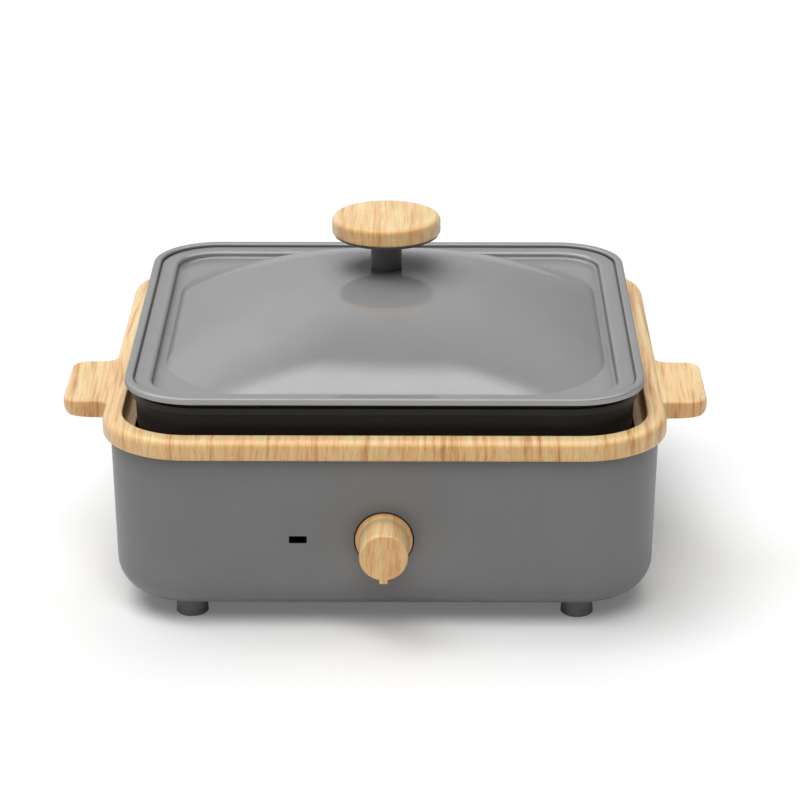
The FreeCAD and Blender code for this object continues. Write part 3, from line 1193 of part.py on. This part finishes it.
def make_inlet():
    """The mains inlet in the rear wall: a flanged socket with three flat pins."""
    socket = new_body("inlet_socket")
    where = dict(plane="XZ_Plane", y="inlet_level")
    housing = new_sketch(socket, "socket_housing_outline", z="-( %s )" % INLET_INSIDE, **where)
    add_rounded_rectangle(housing, "inlet_body_width", "inlet_body_height",
                          "inlet_flange_corner")
    pad(socket, "socket_housing", housing, "%s - %s" % (INLET_MOUTH, INLET_INSIDE), True)
    flange = new_sketch(socket, "socket_flange_outline", z="-( %s )" % INLET_SEAT, **where)
    add_rounded_rectangle(flange, "inlet_flange_width", "inlet_flange_height",
                          "inlet_flange_corner")
    pad(socket, "socket_flange", flange, "inlet_flange_thickness", True)
    mouth = new_sketch(socket, "socket_mouth_outline", z="-( %s - inlet_mouth_depth )" % INLET_MOUTH,
                       **where)
    add_rounded_rectangle(mouth, "inlet_mouth_width", "inlet_mouth_height",
                          "inlet_mouth_corner")
    pocket(socket, "socket_mouth", mouth, "inlet_mouth_depth + cut_past")
    holes = new_sketch(socket, "socket_hole_circles", z="-( %s )" % INLET_SEAT, **where)
    for side in ("1", "-1"):
        add_circle(holes, SCREW_HOLE, side + " * inlet_screw_offset")
    pocket(socket, "socket_holes", holes, "inlet_flange_thickness + cut_past")
    start = "( %s - pin_tail )" % INLET_INSIDE
    stop = "( %s - inlet_mouth_depth + pin_length )" % INLET_MOUTH
    pins = []
    for index, x, rise in ((1, "0", "1"), (2, "-1 * pin_spread", "-1"), (3, "pin_spread", "-1")):
        level = "( inlet_level + %s * pin_rise )" % rise
        slot = new_sketch(socket, "pin_slot_outline_%d" % index, "XZ_Plane", x, level,
                          "-( %s )" % INLET_INSIDE)
        add_rectangle(slot, "pin_thickness", "pin_width")
        pocket(socket, "pin_slot_%d" % index, slot, "inlet_body_length")
        pins.append(new_box("pin_%d" % index, "pin_thickness", "%s - %s" % (stop, start),
                            "pin_width", x, "( %s + %s ) / 2" % (start, stop),
                            level + " - pin_width / 2"))
    group("inlet_pins", pins)
    spots = [(side + " * inlet_screw_offset", INLET_MOUTH, "inlet_level") for side in ("1", "-1")]
    new_screws("inlet_screws", spots, (0, -1, 0), "inlet_flange_thickness + inlet_pad_thickness",
               "screw_head_radius", "screw_head_height", "screw_radius")


def make_wiring():
    """Terminal block, thermal fuse and the wires between inlet, thermostat and element."""
    block_x = "( - block_offset_side )"
    block = new_box("block", "block_width", "block_depth", "block_height", block_x,
                    BLOCK_REAR + " - block_depth / 2", CASING_FLOOR)
    block.Label = "terminal_block"
    keep(block)
    fuse_level = "( %s - bulb_gap - fuse_radius )" % SHIELD_UNDER
    fuse_body = new_cylinder("fuse", "fuse_radius", "fuse_length",
                             "- fuse_length / 2", "fuse_offset", fuse_level, (1, 0, 0))
    fuse_body.Label = "thermal_fuse"
    keep(fuse_body)

    top = number("%s + block_height" % CASING_FLOOR)
    block_front = number(BLOCK_REAR + " - block_depth")
    bx = number(block_x)
    by = number(BLOCK_REAR + " - block_depth / 2")
    pin_y = number("%s - pin_tail" % INLET_INSIDE)
    outer_pin = number("inlet_level - pin_rise")
    middle_pin = number("inlet_level + pin_rise")
    spread = number("pin_spread")
    wire = number("wire_radius")
    bend = number("wire_bend")
    high = number("wire_level")
    rear = -number(THERMOSTAT_BACK)
    terminal = number(KNOB_AXIS) - 6
    gap = number("element_gap")
    end_y = number(WELL_BACK) + number("element_end")
    drop_y = end_y + 2.9
    end_z = number(ELEMENT_AXIS)
    under = number(SHIELD_UNDER)
    fuse_y = number("fuse_offset")
    fuse_z = number(fuse_level)
    fuse_end = number("fuse_length") / 2
    routes = {
        "supply_wires": [
            [(-spread, pin_y, outer_pin), (-spread, by - 4, outer_pin), (bx + 8, by - 4, high - 2),
             (bx + 8, by - 4, top)],
            [(spread, pin_y, outer_pin), (spread, by - 6, outer_pin), (spread, by - 20, outer_pin - 14),
             (bx - 6, by - 20, top - 8), (bx - 6, block_front, top - 8)],
        ],
        "control_wires": [
            [(bx - 10, by - 2, top), (bx - 10, by - 2, high), (bx - 10, rear + 52, high),
             (-8, rear + 26, terminal), (-8, rear, terminal)],
            [(8, rear, terminal), (8, rear + 24, terminal), (34, rear + 62, high), (34, by - 6, high + 6),
             (gap, drop_y, under - 9), (gap, drop_y, end_z), (gap, end_y, end_z)],
        ],
        "fuse_wires": [
            [(-fuse_end, fuse_y, fuse_z), (-fuse_end - 11, fuse_y, fuse_z), (-gap, drop_y, under - 9),
             (-gap, drop_y, end_z), (-gap, end_y, end_z)],
            [(fuse_end, fuse_y, fuse_z), (fuse_end + 10, fuse_y, fuse_z),
             (fuse_end + 10, fuse_y - 16, high + 8), (bx - 2, fuse_y - 16, high), (bx - 2, by, high),
             (bx - 2, by, top)],
        ],
        "earth_wire": [
            [(0, pin_y, middle_pin), (0, by - 20, middle_pin), (0, by - 20, under)],
        ],
    }
    for label, paths in routes.items():
        feature_from(label, [swept_tube(path, wire, bend) for path in paths])


make_casing()
make_bottom_cover()
make_feet()
make_wood_frame()
make_shield()
make_element()
make_pan_posts()
make_pan()
make_lid()
make_lid_knob()
make_control_knob()
make_thermostat()
make_indicator()
make_inlet()
make_wiring()
DOC.recompute()

for item in DOC.Objects:
    if "Invalid" in item.State or "Error" in item.State:
        raise ValueError("%s did not compute: %s" % (item.Label, item.State))
for node in NODES:
    if node.Shape.isNull() or not node.Shape.isValid() or not node.Shape.Solids:
        raise ValueError(node.Label + " has no valid solid")

os.makedirs("parts", exist_ok=True)
for node in NODES:
    node.Shape.exportStep("parts/%s.step" % node.Label)
    box = node.Shape.BoundBox
    print("%-20s %2d solid(s) %10.1f mm3  x %7.2f %7.2f  y %7.2f %7.2f  z %7.2f %7.2f" % (
        node.Label, len(node.Shape.Solids), node.Shape.Volume, box.XMin, box.XMax, box.YMin, box.YMax,
        box.ZMin, box.ZMax))
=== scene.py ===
"""Looks for the table-top electric grill: painted casing and lid, light wood, dark pan, studio floor."""
import math

import bpy
from mathutils import Euler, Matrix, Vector

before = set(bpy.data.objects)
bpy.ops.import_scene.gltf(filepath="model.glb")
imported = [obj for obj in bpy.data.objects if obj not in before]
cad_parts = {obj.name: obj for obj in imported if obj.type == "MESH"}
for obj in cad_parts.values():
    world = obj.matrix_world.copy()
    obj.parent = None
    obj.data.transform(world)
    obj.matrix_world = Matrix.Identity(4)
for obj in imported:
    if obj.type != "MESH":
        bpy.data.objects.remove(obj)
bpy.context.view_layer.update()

BLACK = (0.0, 0.0, 0.0, 1.0)
WHITE = (1.0, 1.0, 1.0, 1.0)


def linear(red, green, blue):
    """A display colour of 0 to 255 a channel as the linear colour that the shader takes."""
    def one(value):
        share = value / 255
        return share / 12.92 if share <= 0.04045 else ((share + 0.055) / 1.055) ** 2.4
    return (one(red), one(green), one(blue), 1.0)


def scaled(colour, share):
    """The colour made lighter or darker by the share, with no channel past full."""
    return tuple(min(part * share, 1) for part in colour[:3]) + (1,)


class Nodes:
    """A node tree with short calls for the nodes that the surfaces and the world share."""

    def __init__(self, tree):
        self.tree = tree

    def add(self, kind, **values):
        node = self.tree.nodes.new(kind)
        for key, value in values.items():
            setattr(node, key, value)
        return node

    def feed(self, value, socket):
        """Links the value to the socket if it is another socket, and sets it there if it is a plain one."""
        if hasattr(value, "links"):
            self.tree.links.new(value, socket)
        else:
            socket.default_value = value

    def slope(self, source, start, end, low, high, easing="LINEAR"):
        """Low up to the start, high from the end on, and an even or a soft slope between them."""
        node = self.add("ShaderNodeMapRange", interpolation_type=easing)
        for name, value in zip(("From Min", "From Max", "To Min", "To Max"), (start, end, low, high)):
            node.inputs[name].default_value = value
        self.feed(source, node.inputs["Value"])
        return node.outputs["Result"]

    def between(self, source, low, high):
        """A source of 0 to 1 as a number from low to high."""
        return self.slope(source, 0.0, 1.0, low, high)

    def calculate(self, operation, first, second=0.0):
        node = self.add("ShaderNodeMath", operation=operation)
        self.feed(first, node.inputs[0])
        self.feed(second, node.inputs[1])
        return node.outputs[0]

    def choose(self, factor, first, second):
        """The first number where the factor is 0, and the second where it is 1."""
        node = self.add("ShaderNodeMix")
        for value, socket in ((factor, node.inputs[0]), (first, node.inputs[2]), (second, node.inputs[3])):
            self.feed(value, socket)
        return node.outputs[0]

    def axis(self, vector, name):
        """The vector's part along X, Y or Z."""
        node = self.add("ShaderNodeSeparateXYZ")
        self.feed(vector, node.inputs[0])
        return node.outputs[name]


# Samples for the painted shade in gaps and creases.
GAP_SHADE_SAMPLES = 12


class Surface(Nodes):
    """A material's nodes round its shader, with places in metres and facings in the object's own frame."""

    def __init__(self, name):
        self.material = bpy.data.materials.new(name)
        self.material.use_nodes = True
        super().__init__(self.material.node_tree)
        self.shader = self.tree.nodes["Principled BSDF"]
        coordinates = self.add("ShaderNodeTexCoord")
        self.place = coordinates.outputs["Object"]
        self.facing = coordinates.outputs["Normal"]

    def stretched(self, scale, offset=(0, 0, 0), source=None, lean=0.0):
        """Places scaled, leant about Y and shifted; a small scale draws a pattern out along its axis."""
        node = self.add("ShaderNodeMapping")
        node.inputs["Scale"].default_value = scale
        node.inputs["Rotation"].default_value = (0.0, lean, 0.0)
        node.inputs["Location"].default_value = offset
        self.feed(source or self.place, node.inputs["Vector"])
        return node.outputs["Vector"]

    def noise(self, scale, vector=None, detail=2.0, roughness=0.5, output="Fac"):
        """Cloudy noise, with its scale in patches a metre."""
        node = self.add("ShaderNodeTexNoise")
        node.inputs["Scale"].default_value = scale
        node.inputs["Detail"].default_value = detail
        node.inputs["Roughness"].default_value = roughness
        self.feed(vector or self.place, node.inputs["Vector"])
        return node.outputs[output]

    def ramp(self, source, stops):
        """Stops are (position, colour); a plain number stands for a grey."""
        node = self.add("ShaderNodeValToRGB")
        elements = node.color_ramp.elements
        while len(elements) < len(stops):
            elements.new(0.5)
        for element, (position, colour) in zip(elements, stops):
            element.position = position
            element.color = colour if isinstance(colour, tuple) else (colour, colour, colour, 1)
        self.feed(source, node.inputs["Fac"])
        return node.outputs["Color"]

    def mix(self, factor, first, second, blend="MIX"):
        node = self.add("ShaderNodeMix", data_type="RGBA", blend_type=blend)
        for value, socket in ((factor, node.inputs[0]), (first, node.inputs[6]), (second, node.inputs[7])):
            self.feed(value, socket)
        return node.outputs[2]

    def product(self, first, second):
        return self.mix(1.0, first, second, "MULTIPLY")

    def painted_gap_shade(self, colour, shade_reach, tint, own=False):
        """Paints shade into gaps and creases: deepens the colour by the tint up to the reach, from occlusion
        between all objects, or only its own.
        """
        shade = self.add("ShaderNodeAmbientOcclusion", samples=GAP_SHADE_SAMPLES, only_local=own)
        shade.inputs["Distance"].default_value = shade_reach
        depth = self.between(shade.outputs["AO"], 1.0, 0.0)
        return self.mix(depth, colour, self.product(colour, tint))

    def bump(self, height, strength, distance):
        node = self.add("ShaderNodeBump")
        node.inputs["Strength"].default_value = strength
        node.inputs["Distance"].default_value = distance
        self.feed(height, node.inputs["Height"])
        self.feed(node.outputs["Normal"], self.shader.inputs["Normal"])

    def set(self, **values):
        """Gives the shader its values, by its sockets' names with underscores, and returns the material."""
        for key, value in values.items():
            self.feed(value, self.shader.inputs[key.replace("_", " ")])
        return self.material


CLOUD_SCALE = 38
SPECK_RELIEF = 0.35
METAL_EDGE = linear(200, 200, 200)


def painted(name, colour, roughness, grain=2600.0, depth=0.00002, mottle=0.05, gloss=0.5, metal=0.0,
            shade_reach=0.0, own=False):
    """Satin paint or moulded plastic, with a fine grain and a faint cloudiness.

    A shade reach over 0 paints shade into the gaps and creases up to that many metres.
    """
    n = Surface(name)
    cloud = n.noise(CLOUD_SCALE, detail=3)
    speck = n.noise(grain)
    tone = n.ramp(cloud, ((0.3, scaled(colour, 1 - mottle)), (0.7, scaled(colour, 1 + mottle))))
    fleck = n.ramp(speck, ((0.3, 0.93), (0.7, 1.0)))
    n.bump(speck, SPECK_RELIEF, depth)
    # Painted shade in the gaps and creases.
    if shade_reach:
        tone = n.painted_gap_shade(tone, shade_reach, BLACK, own)
    return n.set(Base_Color=n.product(tone, fleck),
                 Roughness=n.between(speck, roughness - 0.03, roughness + 0.04),
                 Specular_IOR_Level=gloss,
                 Metallic=metal,
                 Specular_Tint=METAL_EDGE if metal else WHITE)


LIGHT_WOOD = linear(255, 231, 180)
MIDDLE_WOOD = linear(254, 214, 159)
CALM_WOOD = linear(233, 186, 129)
DARK_WOOD = linear(207, 154, 97)
LIGHT_FIBRE = (0.97, 0.95, 0.92, 1)
DARK_FIBRE = (0.84, 0.76, 0.65, 1)
DARK_PORE = (0.86, 0.80, 0.72, 1)
DARK_PATCH = (0.93, 0.90, 0.85, 1)
# End-grain darkening for faces towards the front and back; it also paints shade onto these faces.
END_GRAIN_AND_SHADE = (0.88, 0.75, 0.59, 1)
# Tint and reach of the painted shade in the wood's gaps.
WOOD_GAP_SHADE = (0.12, 0.06, 0.02, 1)
WOOD_GAP_SHADE_REACH = 0.012
SWAY_SCALE = 16
SWAY = 0.016
GRAIN_LEAN = 0.12
BAND_SCALE = 240
FIBRE_SCALE = 900
PORE_SCALE = 1100
PATCH_SCALE = 40


def wood(name, offset, dark=DARK_WOOD):
    """Light wood, grain front to back: wandering soft bands, fine fibres, faint pores, darker end grain that
    also paints shade on the faces towards the front and back, and painted shade in the gaps.
    """
    n = Surface(name)
    drift = n.noise(SWAY_SCALE, n.stretched((1.0, 0.35, 0.5), offset), detail=1, output="Color")
    swayed = n.add("ShaderNodeVectorMath", operation="MULTIPLY_ADD")
    n.feed(drift, swayed.inputs[0])
    n.feed((SWAY, 0, 0), swayed.inputs[1])
    n.feed(n.stretched((1.0, 1.0, 1.0), offset), swayed.inputs[2])

    def grain(scale, stretch, detail, roughness=0.5):
        """Noise drawn out along the wood, by shares across, along and up."""
        along = n.stretched(stretch, source=swayed.outputs["Vector"], lean=GRAIN_LEAN)
        return n.noise(scale, along, detail, roughness)

    bands = grain(BAND_SCALE, (1.0, 0.035, 0.07), detail=4, roughness=0.62)
    fibres = grain(FIBRE_SCALE, (1.0, 0.03, 0.12), detail=3, roughness=0.6)
    pores = grain(PORE_SCALE, (1.0, 0.1, 0.25), detail=1)
    patches = n.noise(PATCH_SCALE, n.stretched((1.0, 0.3, 0.5), offset), detail=3)
    tone = n.ramp(bands, ((0.32, dark), (0.45, MIDDLE_WOOD), (0.60, LIGHT_WOOD)))
    fibre = n.ramp(fibres, ((0.36, DARK_FIBRE), (0.48, LIGHT_FIBRE), (0.60, 1.0)))
    pore = n.ramp(pores, ((0.68, 1.0), (0.76, DARK_PORE)))
    patch = n.ramp(patches, ((0.35, DARK_PATCH), (0.65, 1.0)))
    colour = n.product(n.product(tone, fibre), n.product(pore, patch))
    # Darker end grain, which also paints shade onto the faces towards the front and back.
    end_grain_and_shade = n.calculate("ABSOLUTE", n.axis(n.facing, "Y"))
    colour = n.mix(end_grain_and_shade, colour, n.product(colour, END_GRAIN_AND_SHADE))
    n.bump(fibres, 0.2, 0.00006)
    # Painted shade in the wood's gaps.
    return n.set(Base_Color=n.painted_gap_shade(colour, WOOD_GAP_SHADE_REACH, WOOD_GAP_SHADE),
                 Roughness=n.between(fibres, 0.30, 0.46),
                 Specular_IOR_Level=0.75)


SCRATCH_SCALE = 900
STAIN_SCALE = 22


def sheet_metal(name, colour, roughness, metallic=1.0):
    """Rolled or drawn metal with fine scratches along Y and stains."""
    n = Surface(name)
    scratches = n.noise(SCRATCH_SCALE, n.stretched((1.0, 0.03, 1.0)))
    stains = n.noise(STAIN_SCALE, detail=4)
    n.bump(scratches, 0.2, 0.00002)
    return n.set(Base_Color=n.mix(n.between(stains, 0.0, 0.6), colour, scaled(colour, 0.72)),
                 Metallic=metallic,
                 Roughness=n.between(scratches, roughness - 0.06, roughness + 0.1))


FINISHES = {
    # Painted shade in the casing's gaps, such as under the wood frame.
    painted("casing_paint", linear(125, 125, 125), 0.4, grain=1500, depth=0.00003, mottle=0.03, shade_reach=0.012):
        ("outer_casing", "bottom_cover"),
    # Painted shade in the lid's own creases and grooves.
    painted("lid_paint", linear(175, 175, 175), 0.06, grain=3000, depth=0.000006, mottle=0.02, gloss=0.0,
            metal=0.34, shade_reach=0.008, own=True):
        ("lid_shell",),
    painted("pan_coating", linear(38, 37, 36), 0.5, grain=2200, mottle=0.1, gloss=0.3):
        ("cooking_pan",),
    painted("dark_plastic", linear(74, 74, 73), 0.55, grain=1800, depth=0.00004):
        ("lid_knob_stem",),
    painted("foot_rubber", linear(130, 130, 130), 0.6, grain=1200, depth=0.00005):
        ("foot_front_left", "foot_front_right", "foot_rear_left", "foot_rear_right"),
    painted("window_plastic", linear(2, 2, 2), 0.5, depth=0.000002, gloss=0.0):
        ("indicator_lens",),
    painted("black_plastic", linear(22, 22, 23), 0.4):
        ("inlet_socket", "knob_insert"),
    painted("ceramic", linear(226, 222, 210), 0.55, grain=900):
        ("pan_posts", "element_bushes", "terminal_block", "thermal_fuse", "thermostat_case"),
    painted("wire_cover", linear(178, 140, 104), 0.5, grain=1200):
        ("supply_wires", "control_wires", "fuse_wires", "earth_wire"),
    painted("lamp_glass", linear(214, 120, 70), 0.1):
        ("indicator_lamp",),
    sheet_metal("shield_steel", linear(74, 70, 66), 0.45, 0.8):
        ("heat_shield",),
    sheet_metal("bare_steel", linear(170, 168, 165), 0.35):
        ("element_clips", "thermostat_bracket"),
    sheet_metal("screw_steel", linear(196, 196, 198), 0.28):
        ("foot_screws", "cover_screws", "frame_screws", "bracket_screws", "inlet_screws",
         "lid_screw", "lid_washer", "thermostat_shaft"),
    sheet_metal("element_steel", linear(88, 80, 74), 0.5, 0.7):
        ("heating_element",),
    sheet_metal("copper", linear(205, 132, 96), 0.3):
        ("thermostat_bulb", "capillary_tube"),
    sheet_metal("brass", linear(214, 178, 110), 0.3):
        ("inlet_pins",),
    wood("frame_wood", (0.31, 0.12, 0.05)):
        ("wood_frame",),
    wood("cap_wood", (1.74, 0.65, 0.21), CALM_WOOD):
        ("lid_knob_cap",),
    wood("control_wood", (2.43, 0.38, 0.67), CALM_WOOD):
        ("control_knob",),
}
for material, names in FINISHES.items():
    for name in names:
        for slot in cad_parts[name].material_slots:
            slot.material = material


FLOOR_SIZE = 14
FLOOR_SHIFT = 1.5
FLOOR_GREY = linear(240, 240, 240)
FLOOR_GLOW = 0.14


def make_floor():
    """A wide pale floor that runs to the picture's edges and keeps the grill's shadow."""
    bpy.ops.mesh.primitive_plane_add(size=FLOOR_SIZE, location=(0, FLOOR_SHIFT, 0))
    floor = bpy.context.object
    floor.name = "floor"
    n = Surface("floor_white")
    n.set(Base_Color=FLOOR_GREY, Roughness=0.9, Specular_IOR_Level=0.1)
    path = n.add("ShaderNodeLightPath")
    glow = n.add("ShaderNodeEmission")
    n.feed(WHITE, glow.inputs["Color"])
    n.feed(n.between(path.outputs["Is Camera Ray"], 0.0, FLOOR_GLOW), glow.inputs["Strength"])
    both = n.add("ShaderNodeAddShader")
    n.feed(n.shader.outputs["BSDF"], both.inputs[0])
    n.feed(glow.outputs["Emission"], both.inputs[1])
    n.feed(both.outputs["Shader"], n.tree.nodes["Material Output"].inputs["Surface"])
    floor.data.materials.append(n.material)


SKY_LIGHT = 0.05
WALL = 0.59
ZENITH = 0.02
WALL_FADE = (0.6, 1.02)
SIDE_FALL = 1.5
DIMMEST_SIDE = 0.25
PANEL = 1.75
PANEL_FOOT = (0.6, 0.75)
PANEL_REAR = (0.19, 0.33)
PANEL_SLANT = 0.741


def make_world():
    """A faint even light and a white backdrop; mirrored, a room with pale walls and a bright panel overhead.

    The walls are brighter to the left and fade out towards the zenith. The panel fills the sky above and in
    front of the grill, and its rear edge slants backwards to both sides.
    """
    world = bpy.data.worlds.new("studio")
    bpy.context.scene.world = world
    world.use_nodes = True
    n = Nodes(world.node_tree)
    direction = n.add("ShaderNodeTexCoord").outputs["Generated"]
    right, back, up = (n.axis(direction, name) for name in "XYZ")

    fall = n.calculate("MULTIPLY", right, SIDE_FALL)
    side = n.calculate("MAXIMUM", n.calculate("SUBTRACT", 1.0, fall), DIMMEST_SIDE)
    walls = n.calculate("MULTIPLY", side, n.slope(up, *WALL_FADE, WALL, ZENITH, "SMOOTHSTEP"))

    slant = n.calculate("MULTIPLY", n.calculate("ABSOLUTE", right), PANEL_SLANT)
    slanted = n.calculate("SUBTRACT", back, slant)
    panel = n.calculate("MULTIPLY", n.slope(slanted, *PANEL_REAR, PANEL, 0.0, "SMOOTHSTEP"),
                        n.slope(up, *PANEL_FOOT, 0.0, 1.0, "SMOOTHSTEP"))

    path = n.add("ShaderNodeLightPath")
    mirrored = n.choose(path.outputs["Is Glossy Ray"], SKY_LIGHT, n.calculate("ADD", walls, panel))
    seen = n.choose(path.outputs["Is Transmission Ray"], mirrored, 1.0)
    background = n.tree.nodes["Background"]
    n.feed(WHITE, background.inputs["Color"])
    n.feed(n.choose(path.outputs["Is Camera Ray"], seen, 1.0), background.inputs["Strength"])


# Each lamp's name, direction, strength and width in degrees.
LAMPS = (
    ("left", (-0.36, 0, 0.93), 1.19, 36),
    ("behind", (0, 0.45, 0.9), 0.83, 40),
    ("front", (0, -0.5, 0.86), 1.4, 40),
)


def add_sun(name, towards, strength, width):
    """A wide soft light from the direction, with no highlight of its own."""
    lamp = bpy.data.lights.new(name, "SUN")
    lamp.energy = strength
    lamp.angle = math.radians(width)
    item = bpy.data.objects.new(name, lamp)
    item.rotation_euler = Vector(towards).to_track_quat("Z", "Y").to_euler()
    item.visible_glossy = False
    bpy.context.scene.collection.objects.link(item)


CAMERA_PLACE = (0.0195, -1.8199, 0.7602)
CAMERA_TILT = math.radians(69.71)
CAMERA_TURN = 0.0062
SENSOR_WIDTH = 36
LENS = 143.87
FARTHEST_SEEN = 60


def make_camera():
    """The photograph's view: a long lens, looking down at 20.3 degrees and turned a little to the left."""
    camera = bpy.data.objects.new("camera", bpy.data.cameras.new("camera"))
    bpy.context.scene.collection.objects.link(camera)
    camera.location = CAMERA_PLACE
    camera.rotation_euler = Euler((CAMERA_TILT, 0, CAMERA_TURN))
    camera.data.sensor_width = SENSOR_WIDTH
    camera.data.lens = LENS
    camera.data.clip_end = FARTHEST_SEEN
    bpy.context.scene.camera = camera


make_floor()
make_world()
for lamp in LAMPS:
    add_sun(*lamp)
make_camera()
bpy.context.scene.view_settings.view_transform = "Standard"
